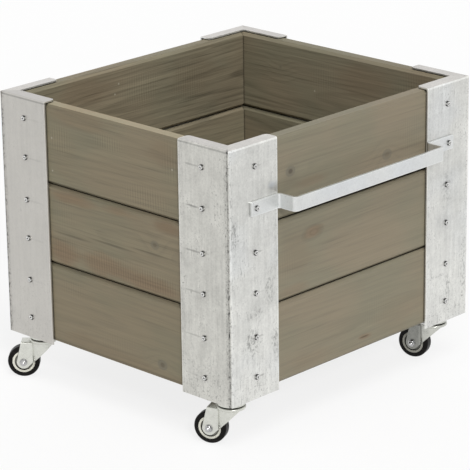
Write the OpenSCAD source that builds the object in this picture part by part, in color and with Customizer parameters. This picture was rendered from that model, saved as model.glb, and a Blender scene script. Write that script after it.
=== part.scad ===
// Rolling planter: a box of stained boards between four folded steel corner posts,
// with a slatted floor, a flat-bar handle on its front and four swivel castors.
// The front (the handle's side) faces -Y, +Z is up and the ground is z = 0.
// The origin is the middle of the outer box, wheels and handle included, on the ground.

/* [Wall boards] */
// Length of each of the twelve wall boards
board_l = 546; // [420:1:900]
// Thickness of a wall board
board_t = 28; // [22:0.5:40]
// Height of a wall board
board_h = 142.5; // [120:0.5:180]
// Bevel along the four long edges of a wall board
board_bevel = 5; // [1:0.5:6]
// Gap between two courses of boards
course_gap = 2.5; // [1:0.5:6]
// Gap between the end of a front or back board and the side board beside it
end_gap = 1; // [0.5:0.1:3]

/* [Corner posts] */
// Thickness of the posts' sheet steel
steel_t = 2.5; // [1.5:0.1:4]
// Width of each leg of a post
leg_w = 115; // [100:1:160]
// Air between a post's leg and the boards behind it
leg_gap = 2; // [0:0.1:4]
// Inner radius of the posts' folds
fold_in = 1; // [0.5:0.1:3]
// Width of the lip that is folded in over the boards
lip_w = 25; // [16:0.5:28]
// Radius of the inner corner at each end of the lip
lip_end_r = 7; // [2:0.5:12]
// Gap between the top boards and the lip
lip_gap = 1.5; // [0.3:0.1:3]

/* [Panel screws] */
// Diameter of a panel screw's shank
screw_d = 4.8; // [3.5:0.1:6]
// Diameter of its pan head
screw_head_d = 9.6; // [8:0.1:13]
// Height of its pan head
screw_head_h = 3; // [2:0.1:4]
// Radial clearance of the screw in its hole
screw_clear = 0.1; // [0.05:0.01:0.5]
// Wood left between the screw's tip and the inside of the board
screw_cover = 5; // [2:0.5:12]
// Distance of the screw column from the corner of the post
screw_inset = 61; // [45:1:80]
// Height of the lower screw of a course above the start of its third of the post
screw_low = 39; // [25:0.5:50]
// Distance of the upper screw of a course below the end of its third of the post
screw_high = 38.5; // [25:0.5:50]

/* [Floor] */
// Width of a floor bearer
bearer_w = 45; // [35:1:60]
// Height of a floor bearer
bearer_h = 28; // [20:1:45]
// Thickness of a floor slat
slat_t = 21; // [12:1:30]
// Drainage gap between two slats
slat_gap = 4; // [2:0.5:12]
// Gap between the floor and the walls
floor_gap = 1.5; // [0.5:0.1:5]
// Distance from a slat's edge to its screws
slat_screw_edge = 28; // [18:1:40]
// Diameter of a slat screw's shank
slat_screw_d = 4; // [3:0.1:5]
// Length of a slat screw
slat_screw_l = 40; // [32:1:45]

/* [Foot plates] */
// Thickness of the plate in the foot of each post
foot_t = 3.5; // [3:0.5:8]
// Margin of the foot plate beyond the castor's plate
foot_margin = 28; // [20:1:50]
// Cut across the inner corner of the foot plate
foot_cut = 40; // [5:1:45]
// Hole in the foot plate over the kingpin
foot_hole_d = 24; // [22:0.5:28]

/* [Handle] */
// Width of the handle's flat bar
handle_w = 25; // [18:0.5:32]
// Thickness of the handle's flat bar
handle_t = 4; // [3:0.5:6]
// Distance from the posts to the outer face of the bar
handle_reach = 40; // [30:1:70]
// Inner radius of the handle's bends
handle_bend = 4; // [2:0.5:8]
// Distance of the handle's two arms from the corners of the box
handle_inset = 115; // [100:1:150]
// Length of a tab beyond its screw
tab_end = 13; // [8:0.5:25]
// Corner radius of a tab's end
tab_r = 2; // [0.5:0.1:6]

/* [Castors] */
// Distance of the swivel axis from both outer faces of its post
castor_inset = 42; // [40:0.5:55]
// Width of the square top plate
plate_w = 60; // [58:1:70]
// Corner radius of the top plate
plate_r = 6; // [2:0.5:10]
// Thickness of the top plate
plate_t = 2.5; // [2:0.1:4]
// Distance between two bolts of the top plate
bolt_pitch = 44; // [43:0.5:48]
// Diameter of the kingpin's shank
kingpin_d = 10; // [8:0.5:12]
// Diameter of the kingpin's two heads
kingpin_head_d = 20; // [16:0.5:21]
// Thickness of the kingpin's upper head
kingpin_top_h = 2.2; // [1:0.1:2.8]
// Thickness of the kingpin's lower head
kingpin_low_h = 3; // [1:0.1:4]
// Diameter of a swivel ball
ball_d = 5.5; // [4:0.1:6]
// Radius of the ring of balls
ball_ring_r = 15.5; // [14.5:0.1:16]
// Number of balls in a ring
ball_n = 14; // [8:1:14]
// Radius of the round cup under the top plate
cup_r = 24.5; // [23:0.1:24.5]
// Height of the cup
cup_h = 11.3; // [8:0.1:14]
// Gap between the cup and the fork's crown, where the balls run
race_gap = 2.2; // [1:0.1:3]
// Radius of the fork's round crown
crown_r = 25; // [24:0.1:28]
// Height of the crown's rim
crown_h = 5; // [5:0.1:9]
// Radius of the crown's upper edge
crown_round = 3; // [1:0.1:3]
// How far the fork's skirt lies inside the crown's rim
skirt_in = 1.5; // [0.5:0.1:1.8]
// Height of the crown above the tongue over the wheel
tongue_drop = 5; // [4:0.1:8]
// Radius of the hollow where the skirt meets a cheek
crease_r = 3; // [1:0.5:5]
// Thickness of the fork's pressed steel
fork_t = 2.2; // [1.5:0.1:3]
// Inner radius of the fork's folds
fork_fold_in = 1; // [0.3:0.1:2]
// Distance from the swivel axis to the axle
trail = 36; // [30:0.5:40]
// Radius of the cheeks around the axle
lobe_r = 12; // [9:0.1:13]
// How far the tongue reaches behind the axle
tongue_overhang = 3.5; // [2:0.1:8]

/* [Wheels] */
// Radius of the wheel
wheel_r = 29; // [26:0.5:34]
// Width of the tyre
tyre_w = 20; // [16:0.5:24]
// Thickness of the tyre
tyre_t = 8.5; // [6:0.1:10]
// Corner radius of the tyre's tread
tread_r = 4; // [2:0.1:5]
// Free height between the wheel and the tongue
wheel_head_gap = 7.3; // [6:0.1:16]
// Gap between the tyre and a cheek of the fork
cheek_gap = 1.5; // [1:0.1:3]
// Width of the rim's outer flange
flange_w = 4; // [3:0.1:5]
// Radius of the rim's hub
hub_r = 12; // [9:0.1:12.5]
// Depth of the ring between flange and hub
ring_depth = 5; // [2:0.1:6]
// Gap between the hub and a cheek
hub_gap = 0.3; // [0.2:0.05:1]
// Diameter of the axle bolt
axle_d = 8; // [6:0.5:9]
// Wall of the tube on the axle bolt
tube_wall = 1.9; // [1:0.1:2.5]

/* [Wheel directions at rest] */
// Direction of the front left wheel from its swivel axis, in degrees from +X
angle_front_left = 113.5; // [0:0.5:360]
// Direction of the front right wheel
angle_front_right = 106; // [0:0.5:360]
// Direction of the back left wheel
angle_back_left = 131.5; // [0:0.5:360]
// Direction of the back right wheel
angle_back_right = 122; // [0:0.5:360]

/* [Hidden] */
$fn = 48;
eps = 0.01;              // overshoot of a cut past the face it opens
far = 2000;              // longer than any piece, for shapes that are cut to size
run_clear = 0.06;        // radial clearance of a shaft that turns in its bore
seat_clear = 0.3;        // gap between two faces that turn past each other
ball_clear = 0.15;       // radial clearance of a ball in its groove
pass_clear = 0.3;        // radial clearance of a bolt in a plate

// Colours
wood = [0.48, 0.45, 0.37];
floor_wood = [0.43, 0.40, 0.33];
galvanised = [0.76, 0.77, 0.76];
zinc = [0.72, 0.73, 0.70];
bright_steel = [0.62, 0.62, 0.63];
cream = [0.87, 0.84, 0.72];
rubber = [0.06, 0.06, 0.07];

// Castor bolts and nuts
bolt_d = 6;
bolt_head_w = 10;        // across the flats
bolt_head_h = 4;
bolt_nut_h = 4;
bolt_end = 0.5;          // thread beyond the nut
foot_air = 0.5;          // air between the bolts and the lowest boards
bolt_room = 3;           // room in the bearers round a bolt's nut

// Axle bolt and nut
axle_head_w = 10.5;      // across the flats
axle_head_h = 3.6;       // of the hexagon, without its dome
axle_dome_r = 4;         // of the dome on the bolt's head
axle_washer_h = 1.2;
axle_washer_r = 6.8;
axle_nut_w = 13;         // across the flats
axle_nut_h = 6.5;
axle_end = 2;            // thread beyond the nut

// Slat screws and cross recesses
slat_head_d = 8;
slat_head_h = 2.6;
recess_w = 1.1;          // width of a slot of the cross
recess_l = 5.2;          // length of a slot of the cross
recess_depth = 1.6;
pan_round = 1.7;         // rounding of the pan head's edge
tip_r = 0.3;             // blunt end of a wood screw

// Races and rims
cup_wall = 2.2;
cup_round = 1;           // rounding of the cup's edges
race_wall = 2;           // metal beside the balls
race_floor = 3;          // metal of the cup over the balls
race_depth = 1.5;        // pressed ring under the crown, below the balls
flange_step = 0.5;       // how far the rim's flange lies inside the tyre's side

// Box
courses = ["lower", "middle", "upper"];
course_pitch = board_h + course_gap;
board_lift = foot_t + bolt_nut_h + bolt_end + foot_air;
post_h = board_lift + len(courses) * course_pitch - course_gap + lip_gap + steel_t;
wall_out = steel_t + leg_gap;                // from a post's outer face to the boards
wall_in = wall_out + board_t;                // from a post's outer face to the inside
box_x = board_l + 2 * (end_gap + wall_in);
box_y = board_l + 2 * (fold_in + steel_t);
inside_x = box_x - 2 * wall_in;
inside_y = box_y - 2 * wall_in;
screw_l = wall_in - screw_cover;
screw_third = post_h / len(courses);
function screw_rows(k) = [k * screw_third + screw_low, (k + 1) * screw_third - screw_high];
handle_z = screw_rows(2)[0];

// Floor
foot_w = castor_inset + plate_w / 2 + foot_margin;
slat_n = 4;
slat_l = inside_x - 2 * floor_gap;
slat_w = (inside_y - 2 * floor_gap - (slat_n - 1) * slat_gap) / slat_n;
bearer_l = inside_y - 2 * floor_gap;
bearer_x = inside_x / 2 - floor_gap - bearer_w / 2;
slat_z = foot_t + bearer_h;

// Castor, measured down from the top of its plate
race_in = ball_ring_r - ball_d / 2 - race_wall;
race_out = ball_ring_r + ball_d / 2 + race_wall;
ball_z = -plate_t - cup_h - race_gap / 2;
crown_z = -plate_t - cup_h - race_gap;
crown_under = crown_z - fork_t;
tongue_z = crown_z - tongue_drop;
axle_z = tongue_z - fork_t - wheel_head_gap - wheel_r;
skirt_r = crown_r - skirt_in;
cheek_in = tyre_w / 2 + cheek_gap;
cheek_out = cheek_in + fork_t;
tongue_end = trail + tongue_overhang;
castor_h = wheel_r - axle_z;
rim_r = wheel_r - tyre_t;
tube_r = axle_d / 2 + tube_wall;
flange_y = tyre_w / 2 - flange_step;

// name, side of X, side of Y, direction of the wheel
corners = [
    ["front_left", -1, -1, angle_front_left],
    ["front_right", 1, -1, angle_front_right],
    ["back_left", -1, 1, angle_back_left],
    ["back_right", 1, 1, angle_back_right],
];
// name, turn about Z, distance of its outer face from the middle, length of the box along it
walls = [
    ["front", 0, box_y / 2, box_x],
    ["right", 90, box_x / 2, box_y],
    ["back", 180, box_y / 2, box_x],
    ["left", 270, box_x / 2, box_y],
];

// Outer box at rest: the screw heads, the handle and the wheels that reach past the posts
function axis_x(c) = c[1] * (box_x / 2 - castor_inset);
function axis_y(c) = c[2] * (box_y / 2 - castor_inset);
function wheel_reach(along, across) =
    (wheel_r - tread_r) * abs(along) + (tyre_w / 2 - tread_r) * abs(across) + tread_r;
wheel_ends_x = [for (c = corners, side = [-1, 1])
    axis_x(c) + trail * cos(c[3]) + side * wheel_reach(cos(c[3]), sin(c[3]))];
wheel_ends_y = [for (c = corners, side = [-1, 1])
    axis_y(c) + trail * sin(c[3]) + side * wheel_reach(sin(c[3]), cos(c[3]))];
low_x = min(-box_x / 2 - screw_head_h, min(wheel_ends_x));
high_x = max(box_x / 2 + screw_head_h, max(wheel_ends_x));
low_y = min(-box_y / 2 - max(handle_reach, screw_head_h), min(wheel_ends_y));
high_y = max(box_y / 2 + screw_head_h, max(wheel_ends_y));

// ---- Places ----

// From the plan's middle at the foot of the posts to the part's own origin
module placed() {
    translate([-(low_x + high_x) / 2, -(low_y + high_y) / 2, castor_h]) children();
}

// A corner's own frame: its outer edge at the origin, X and Y pointing into the box
module at_corner(c) {
    translate([c[1] * box_x / 2, c[2] * box_y / 2, 0])
        mirror([c[1] > 0 ? 1 : 0, 0, 0])
            mirror([0, c[2] > 0 ? 1 : 0, 0])
                children();
}

// A wall's own frame: its posts' outer faces on y = 0, the inside towards +Y
module at_wall(w) {
    rotate([0, 0, w[1]]) translate([0, -w[2], 0]) children();
}

// The swivel axis of a castor, square to the box
module at_castor(c) {
    translate([axis_x(c), axis_y(c), 0]) children();
}

// The swivel axis of a castor, its wheel towards +X
module at_wheel(c) {
    at_castor(c) rotate([0, 0, c[3]]) children();
}

// The axle of a castor, running along Z, its bolt head towards +Z
module at_axle(c) {
    at_wheel(c) translate([trail, 0, axle_z]) rotate([-90, 0, 0]) children();
}

// The four bolts of a castor's top plate
module at_bolts() {
    for (x = [-1, 1], y = [-1, 1]) translate([x * bolt_pitch / 2, y * bolt_pitch / 2, 0]) children();
}

// The screws of one wall: both columns, two rows a course
module at_wall_screws(w, k) {
    for (side = [-1, 1], z = screw_rows(k))
        translate([side * (w[3] / 2 - screw_inset), 0, z]) rotate([90, 0, 0]) children();
}

// The screws of the floor: two at each crossing of a slat and a bearer
module at_slat_screws() {
    for (i = [0:slat_n - 1], side = [-1, 1], edge = [-1, 1])
        translate([side * bearer_x, slat_y(i) + edge * (slat_w / 2 - slat_screw_edge), slat_z + slat_t])
            children();
}
function slat_y(i) = (i - (slat_n - 1) / 2) * (slat_w + slat_gap);

// ---- Shapes that repeat ----

// A quarter plane with its corner at the origin rounded
module round_quarter(r) {
    translate([r, 0]) square(far);
    translate([0, r]) square(far);
    translate([r, r]) circle(r);
}

// A block that starts at the three planes x = 0, y = 0 and z = top, with its edges rounded
module folded_block(r, top) {
    intersection() {
        translate([0, 0, top - far]) linear_extrude(far) round_quarter(r);
        translate([0, far, top]) rotate([90, 90, 0]) linear_extrude(far) round_quarter(r);
        translate([0, 0, top]) rotate([0, 90, 0]) linear_extrude(far)
            round_quarter(r);
    }
}

// A rectangle from the origin with the corner away from it rounded
module end_rounded(x, y, r) {
    square([x - r, y]);
    square([x, y - r]);
    translate([x - r, y - r]) circle(r);
}

// A square about the origin with rounded corners
module rounded_square(w, r) {
    square([w, w - 2 * r], center = true);
    square([w - 2 * r, w], center = true);
    for (x = [-1, 1], y = [-1, 1]) translate([x * (w / 2 - r), y * (w / 2 - r)]) circle(r);
}

// A hexagon by its width across the flats, with its top corners turned off
module hexagon_head(w, h) {
    intersection() {
        cylinder(d = w / cos(30), h = h, $fn = 6);
        cylinder(r1 = w / 2 + h, r2 = w / 2, h = h);
    }
}

// The cross in a screw's head, cut down from z = 0
module cross_recess() {
    for (a = [0, 90]) rotate([0, 0, a + 20])
        translate([-recess_l / 2, -recess_w / 2, -recess_depth])
            cube([recess_l, recess_w, recess_depth + eps]);
}

// A pan-head screw through the plane z = 0, its head above it
module pan_screw() {
    head_r = screw_head_d / 2;
    tip_h = screw_d;
    difference() {
        rotate_extrude() {
            square([head_r, screw_head_h - pan_round]);
            square([head_r - pan_round, screw_head_h]);
            translate([head_r - pan_round, screw_head_h - pan_round]) intersection() {
                circle(pan_round);
                square(pan_round);
            }
        }
        translate([0, 0, screw_head_h]) cross_recess();
    }
    translate([0, 0, tip_h - screw_l]) cylinder(d = screw_d, h = screw_l - tip_h);
    translate([0, 0, -screw_l]) cylinder(r1 = tip_r, r2 = screw_d / 2, h = tip_h);
}

// The hole of a pan-head screw
module pan_hole() {
    translate([0, 0, -screw_l - screw_clear])
        cylinder(r = screw_d / 2 + screw_clear, h = screw_l + screw_clear + handle_t + eps);
}

// A countersunk screw, its head level with z = 0
module slat_screw(clear = 0) {
    tip_h = slat_screw_d;
    r = slat_screw_d / 2 + clear;
    difference() {
        union() {
            translate([0, 0, -slat_head_h])
                cylinder(r1 = r, r2 = slat_head_d / 2 + clear, h = slat_head_h + (clear > 0 ? eps : 0));
            translate([0, 0, tip_h - slat_screw_l]) cylinder(r = r, h = slat_screw_l - tip_h);
            translate([0, 0, -slat_screw_l - clear])
                cylinder(r1 = tip_r + clear, r2 = r, h = tip_h + clear);
        }
        if (clear == 0) cross_recess();
    }
}

// ---- Box ----

module post(c) {
    color(galvanised) at_corner(c) difference() {
        intersection() {
            difference() {
                folded_block(fold_in + steel_t, post_h);
                translate([steel_t, steel_t, 0]) folded_block(fold_in, post_h - steel_t);
            }
            linear_extrude(post_h) {
                end_rounded(leg_w, lip_w, lip_end_r);
                mirror([1, -1]) end_rounded(leg_w, lip_w, lip_end_r);
            }
        }
        for (k = [0:len(courses) - 1], z = screw_rows(k)) {
            translate([screw_inset, 0, z]) rotate([90, 0, 0]) pan_hole();
            translate([0, screw_inset, z]) rotate([0, -90, 0]) pan_hole();
        }
    }
}

module foot_plate(c) {
    inner = foot_w - steel_t;
    color(galvanised) at_corner(c) difference() {
        translate([steel_t, steel_t, 0]) linear_extrude(foot_t)
            polygon([[fold_in, 0], [inner, 0], [inner, inner - foot_cut], [inner - foot_cut, inner],
                     [0, inner], [0, fold_in]]);
        translate([castor_inset, castor_inset, -eps]) {
            cylinder(d = foot_hole_d, h = foot_t + 2 * eps);
            at_bolts() cylinder(r = bolt_d / 2 + pass_clear, h = foot_t + 2 * eps);
        }
    }
}

// The lowest boards of the two sides are left square along the bottom
module wall_board(w, k) {
    b = board_bevel;
    low = k == 0 && (w[0] == "left" || w[0] == "right") ? 0 : b;
    lift = board_lift + k * course_pitch;
    color(wood) at_wall(w) difference() {
        translate([-board_l / 2, wall_out, lift]) rotate([90, 0, 90]) linear_extrude(board_l)
            polygon([[low, 0], [board_t - low, 0], [board_t, low], [board_t, board_h - b],
                     [board_t - b, board_h], [b, board_h], [0, board_h - b], [0, low]]);
        at_wall_screws(w, k) pan_hole();
    }
}

module floor_bearer(side) {
    color(floor_wood) difference() {
        translate([side * bearer_x - bearer_w / 2, -bearer_l / 2, foot_t])
            cube([bearer_w, bearer_l, bearer_h]);
        for (c = corners) at_castor(c) at_bolts()
            translate([0, 0, foot_t - eps])
                cylinder(r = bolt_head_w / 2 + bolt_room, h = bolt_nut_h + bolt_end + foot_air);
        at_slat_screws() slat_screw(screw_clear);
    }
}

module floor_slat(i) {
    color(floor_wood) difference() {
        translate([-slat_l / 2, slat_y(i) - slat_w / 2, slat_z]) cube([slat_l, slat_w, slat_t]);
        at_slat_screws() slat_screw(screw_clear);
    }
}

module handle() {
    arm_x = box_x / 2 - handle_inset;
    tab_x = box_x / 2 - screw_inset + tab_end;
    bend_out = handle_bend + handle_t;
    color(galvanised) at_wall(walls[0]) difference() {
        translate([0, 0, handle_z - handle_w / 2]) linear_extrude(handle_w) {
            translate([0, handle_t / 2 - handle_reach])
                square([2 * (arm_x - bend_out), handle_t], center = true);
            for (m = [0, 1]) mirror([m, 0]) {
                translate([arm_x + handle_bend, -handle_t])
                    square([tab_x - arm_x - handle_bend, handle_t]);
                translate([arm_x + handle_bend, -bend_out]) quarter_bend(1);
                translate([arm_x - handle_t, bend_out - handle_reach])
                    square([handle_t, handle_reach - 2 * bend_out]);
                translate([arm_x - bend_out, bend_out - handle_reach]) quarter_bend(-1);
            }
        }
        at_wall_screws(walls[0], 2) pan_hole();
        for (m = [0, 1]) mirror([m, 0, 0])
            translate([tab_x, -handle_t - eps, handle_z]) rotate([-90, 0, 0]) tab_corners();
    }
}

// A quarter of a bend in the handle: towards -X and +Y, or with turn = -1 towards +X and -Y
module quarter_bend(turn) {
    rotate(turn > 0 ? 0 : 180) intersection() {
        difference() {
            circle(handle_bend + handle_t);
            circle(handle_bend);
        }
        translate([-far, 0]) square(far);
    }
}

// What the rounded corners of a tab's end take away
module tab_corners() {
    linear_extrude(handle_t + 2 * eps) for (m = [0, 1]) mirror([0, m]) difference() {
        translate([-tab_r, handle_w / 2 - tab_r]) square(tab_r + eps);
        translate([-tab_r, handle_w / 2 - tab_r]) circle(tab_r);
    }
}

// ---- Fasteners ----

module panel_screws() {
    color(bright_steel) for (w = walls, k = [0:len(courses) - 1], side = [-1, 1], row = [0, 1]) {
        on_handle = w[0] == "front" && k == 2 && row == 0;
        x = side * (w[3] / 2 - screw_inset);
        at_wall(w) translate([x, on_handle ? -handle_t : 0, screw_rows(k)[row]]) rotate([90, 0, 0])
            pan_screw();
    }
}

module slat_screws() {
    color(bright_steel) at_slat_screws() slat_screw();
}

module castor_bolts() {
    color(zinc) for (c = corners) at_castor(c) at_bolts() {
        translate([0, 0, -plate_t]) mirror([0, 0, 1]) hexagon_head(bolt_head_w, bolt_head_h);
        translate([0, 0, -plate_t]) cylinder(d = bolt_d, h = plate_t + foot_t + bolt_nut_h + bolt_end);
    }
}

module castor_nuts() {
    color(zinc) for (c = corners) at_castor(c) at_bolts() translate([0, 0, foot_t]) difference() {
        hexagon_head(bolt_head_w, bolt_nut_h);
        translate([0, 0, -eps]) cylinder(d = bolt_d, h = bolt_nut_h + 2 * eps);
    }
}

// ---- Castors ----

// The groove of the swivel balls, as a whole ring
module ball_groove() {
    translate([0, 0, ball_z]) rotate_extrude()
        translate([ball_ring_r, 0]) circle(ball_d / 2 + ball_clear);
}

module castor_plate(c) {
    color(zinc) at_castor(c) difference() {
        union() {
            translate([0, 0, -plate_t]) linear_extrude(plate_t) rounded_square(plate_w, plate_r);
            rotate_extrude() plug_half(cup_r, -plate_t - cup_h, -plate_t / 2, cup_round, cup_round);
        }
        translate([0, 0, -plate_t - cup_h + race_floor])
            cylinder(r = cup_r - cup_wall, h = cup_h - race_floor);
        ball_groove();
        translate([0, 0, -far / 2]) cylinder(d = kingpin_d, h = far);
        at_bolts() translate([0, 0, -plate_t - eps])
            cylinder(r = bolt_d / 2 + pass_clear, h = plate_t + 2 * eps);
    }
}

module kingpin(c) {
    low = crown_under - seat_clear;
    color(bright_steel) at_castor(c) {
        cylinder(d = kingpin_head_d, h = kingpin_top_h);
        translate([0, 0, low]) cylinder(d = kingpin_d, h = -low);
        translate([0, 0, low - kingpin_low_h]) cylinder(d = kingpin_head_d, h = kingpin_low_h);
    }
}

module swivel_balls(c) {
    color(bright_steel) at_castor(c) for (i = [0:ball_n - 1])
        rotate([0, 0, i * 360 / ball_n]) translate([ball_ring_r, 0, ball_z]) sphere(d = ball_d);
}

// Half a round plug for rotate_extrude, from low to top, both outer edges rounded
module plug_half(r, low, top, top_round, low_round) {
    h = top - low;
    translate([0, low]) square([r - low_round, h - top_round]);
    translate([0, low + low_round]) square([r - top_round, h - low_round]);
    translate([0, low + low_round]) square([r, h - top_round - low_round]);
    translate([r - top_round, top - top_round]) circle(top_round);
    translate([r - low_round, low + low_round]) circle(low_round);
}

// The fork's skirt, tongue and cheeks as a solid, with their faces moved in by inset
module fork_block(inset, round) {
    low = axle_z - lobe_r - fork_t;
    top = tongue_z - inset;
    half = cheek_out - inset;
    crease = [sqrt(pow(skirt_r + crease_r, 2) - pow(cheek_out + crease_r, 2)), cheek_out + crease_r];
    rotate_extrude() plug_half(skirt_r - inset, low, crown_z - inset, round, round);
    rotate([90, 0, 90]) linear_extrude(tongue_end + lobe_r + inset) {
        translate([-half, low]) square([2 * half, top - round - low]);
        translate([round - half, low]) square([2 * (half - round), top - low]);
        for (s = [-1, 1]) translate([s * (half - round), top - round]) circle(round);
    }
    for (m = [0, 1]) mirror([0, m, 0]) translate([0, 0, low]) linear_extrude(top - round - low)
        difference() {
            polygon([[0, 0], [crease.x, 0], crease]);
            translate(crease) circle(crease_r + inset);
        }
}

// The side of the fork: the crown's rim, and the cheeks from its front edge round the axle
module fork_side() {
    front = [-crown_r, crown_z];
    back = [tongue_end, tongue_z];
    axle = [trail, axle_z];
    front_turn = asin(lobe_r / norm(axle - front));
    front_way = atan2(axle.y - front.y, axle.x - front.x) - front_turn;
    front_touch = front + norm(axle - front) * cos(front_turn) * [cos(front_way), sin(front_way)];
    back_turn = asin(lobe_r / norm(axle - back));
    back_way = atan2(axle.y - back.y, axle.x - back.x) + back_turn;
    back_touch = back + norm(axle - back) * cos(back_turn) * [cos(back_way), sin(back_way)];
    translate([-far / 2, crown_z - crown_h]) square([far / 2 + tongue_end, crown_h + 1]);
    translate(axle) circle(lobe_r);
    polygon([front, front_touch, axle, back_touch, back]);
}

module fork(c) {
    color(zinc) at_wheel(c) difference() {
        union() {
            intersection() {
                difference() {
                    union() {
                        fork_block(0, fork_fold_in + fork_t);
                        rotate_extrude()
                            plug_half(crown_r, crown_z - crown_h, crown_z, crown_round, skirt_in);
                    }
                    fork_block(fork_t, fork_fold_in);
                }
                translate([0, far / 2, 0]) rotate([90, 0, 0]) linear_extrude(far) fork_side();
            }
            translate([0, 0, crown_under - race_depth]) difference() {
                cylinder(r = race_out, h = race_depth + eps);
                translate([0, 0, -eps]) cylinder(r = race_in, h = race_depth + 3 * eps);
            }
        }
        ball_groove();
        translate([0, 0, -far / 2]) cylinder(r = kingpin_d / 2 + run_clear, h = far);
        translate([trail, far / 2, axle_z]) rotate([90, 0, 0])
            cylinder(r = axle_d / 2 + pass_clear, h = far);
    }
}

// The axle bolt with its washer and domed head, the tube that it clamps, and its nut
module axle(c) {
    at_axle(c) {
        color(zinc) {
            translate([0, 0, cheek_out]) cylinder(r = axle_washer_r, h = axle_washer_h);
            translate([0, 0, cheek_out + axle_washer_h]) {
                hexagon_head(axle_head_w, axle_head_h);
                translate([0, 0, axle_head_h - eps]) cap_dome();
            }
            translate([0, 0, -cheek_out - axle_nut_h - axle_end])
                cylinder(d = axle_d, h = 2 * cheek_out + axle_nut_h + axle_end);
        }
        color(bright_steel) difference() {
            translate([0, 0, -cheek_in]) cylinder(r = tube_r, h = 2 * cheek_in);
            translate([0, 0, -cheek_in - eps])
                cylinder(r = axle_d / 2 + run_clear, h = 2 * cheek_in + 2 * eps);
        }
        color(zinc) translate([0, 0, -cheek_out]) mirror([0, 0, 1]) difference() {
            hexagon_head(axle_nut_w, axle_nut_h);
            translate([0, 0, -eps]) cylinder(r = axle_d / 2 + run_clear, h = axle_nut_h + 2 * eps);
        }
    }
}

// The half ball on the axle bolt's head
module cap_dome() {
    rotate_extrude() intersection() {
        circle(axle_dome_r);
        square(axle_dome_r);
    }
}

module rim(c) {
    ring_y = flange_y - ring_depth;
    hub_y = cheek_in - hub_gap;
    color(cream) at_axle(c) rotate_extrude() difference() {
        union() {
            translate([0, -ring_y]) square([rim_r, 2 * ring_y]);
            translate([0, -hub_y]) square([hub_r, 2 * hub_y]);
            translate([rim_r - flange_w, -flange_y]) square([flange_w, 2 * flange_y]);
        }
        translate([0, -far / 2]) square([tube_r + run_clear, far]);
    }
}

module tyre(c) {
    half = tyre_w / 2;
    color(rubber) at_axle(c) rotate_extrude() {
        translate([rim_r, -half]) square([tyre_t - tread_r, tyre_w]);
        translate([rim_r, tread_r - half]) square([tyre_t, tyre_w - 2 * tread_r]);
        for (s = [-1, 1]) translate([wheel_r - tread_r, s * (half - tread_r)]) circle(tread_r);
    }
}

// ---- Assembly ----

for (c = corners) {
    placed() post(c);
    placed() foot_plate(c);
    placed() castor_plate(c);
    placed() kingpin(c);
    placed() swivel_balls(c);
    placed() fork(c);
    placed() axle(c);
    placed() rim(c);
    placed() tyre(c);
}
for (w = walls, k = [0:len(courses) - 1])
    placed() wall_board(w, k);
placed() floor_bearer(-1);  // floor_bearer_left
placed() floor_bearer(1);  // floor_bearer_right
for (i = [0:slat_n - 1])
    placed() floor_slat(i);
placed() handle();
placed() panel_screws();
placed() slat_screws();
placed() castor_bolts();
placed() castor_nuts();
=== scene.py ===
# Rolling planter: its finishes, a soft studio and the camera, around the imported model
import math
import bpy
import bmesh
from mathutils import Matrix, Vector


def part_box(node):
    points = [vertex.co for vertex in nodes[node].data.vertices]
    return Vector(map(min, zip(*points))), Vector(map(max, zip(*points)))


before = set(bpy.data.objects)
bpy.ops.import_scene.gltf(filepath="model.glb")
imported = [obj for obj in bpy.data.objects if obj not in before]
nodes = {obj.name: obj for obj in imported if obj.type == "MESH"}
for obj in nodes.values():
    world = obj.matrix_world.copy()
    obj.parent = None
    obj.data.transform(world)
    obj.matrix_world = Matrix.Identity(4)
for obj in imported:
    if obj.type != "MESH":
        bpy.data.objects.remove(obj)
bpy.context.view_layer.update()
corners = ["front_left", "front_right", "back_left", "back_right"]
mm = 0.001
print("frame loaded:", len(nodes), "nodes")


# small functions for building shader trees

seedStep = (1.0, 1.7, 0.6)  # how far apart the patterns of two seeds lie, along x, y and z

# painted shade in creases, gaps and corners, from how much free room is round a place
creaseLook = {
    "samples": 8,
    "openness": (0.15, 0.85),  # share of free room round a place, from the darkest painted shade to none
}


def feed(tree, socket, value):  # a link when value comes from a node, else a plain number
    if isinstance(value, bpy.types.NodeSocket):
        tree.links.new(value, socket)
    else:
        socket.default_value = value


def calc(tree, operation, a, b=0.0, c=0.0):
    node = tree.nodes.new("ShaderNodeMath")
    node.operation = operation
    for socket, value in zip(node.inputs, (a, b, c)):
        feed(tree, socket, value)
    return node.outputs[0]


def vectorCalc(tree, operation, a, b=(0, 0, 0)):
    node = tree.nodes.new("ShaderNodeVectorMath")
    node.operation = operation
    feed(tree, node.inputs[0], a)
    feed(tree, node.inputs[1], b)
    return node.outputs["Value" if operation == "LENGTH" else "Vector"]


def placed(tree, vector, kind="TEXTURE", place=(0, 0, 0), turn=0.0, scale=(1, 1, 1)):
    node = tree.nodes.new("ShaderNodeMapping")
    node.vector_type = kind
    feed(tree, node.inputs["Vector"], vector)
    node.inputs["Location"].default_value = place
    node.inputs["Rotation"].default_value = (0, 0, turn)
    node.inputs["Scale"].default_value = scale
    return node.outputs[0]


def noise(tree, vector, scale, detail=2.0, roughness=0.5):
    node = tree.nodes.new("ShaderNodeTexNoise")
    feed(tree, node.inputs["Vector"], vector)
    node.inputs["Scale"].default_value = scale
    node.inputs["Detail"].default_value = detail
    node.inputs["Roughness"].default_value = roughness
    return node.outputs["Fac"]


def stretchedNoise(tree, vector, seed, scale, detail=2.0, roughness=0.5):
    moved = placed(tree, vector, "POINT", place=tuple(seed * step for step in seedStep), scale=scale)
    return noise(tree, moved, 1.0, detail, roughness)


def stretchedNoises(tree, vector, seed, table):  # one for each name, its seed counted on from the piece's
    return {name: stretchedNoise(tree, vector, seed + further, *shape)
            for name, (further, *shape) in table.items()}


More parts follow.
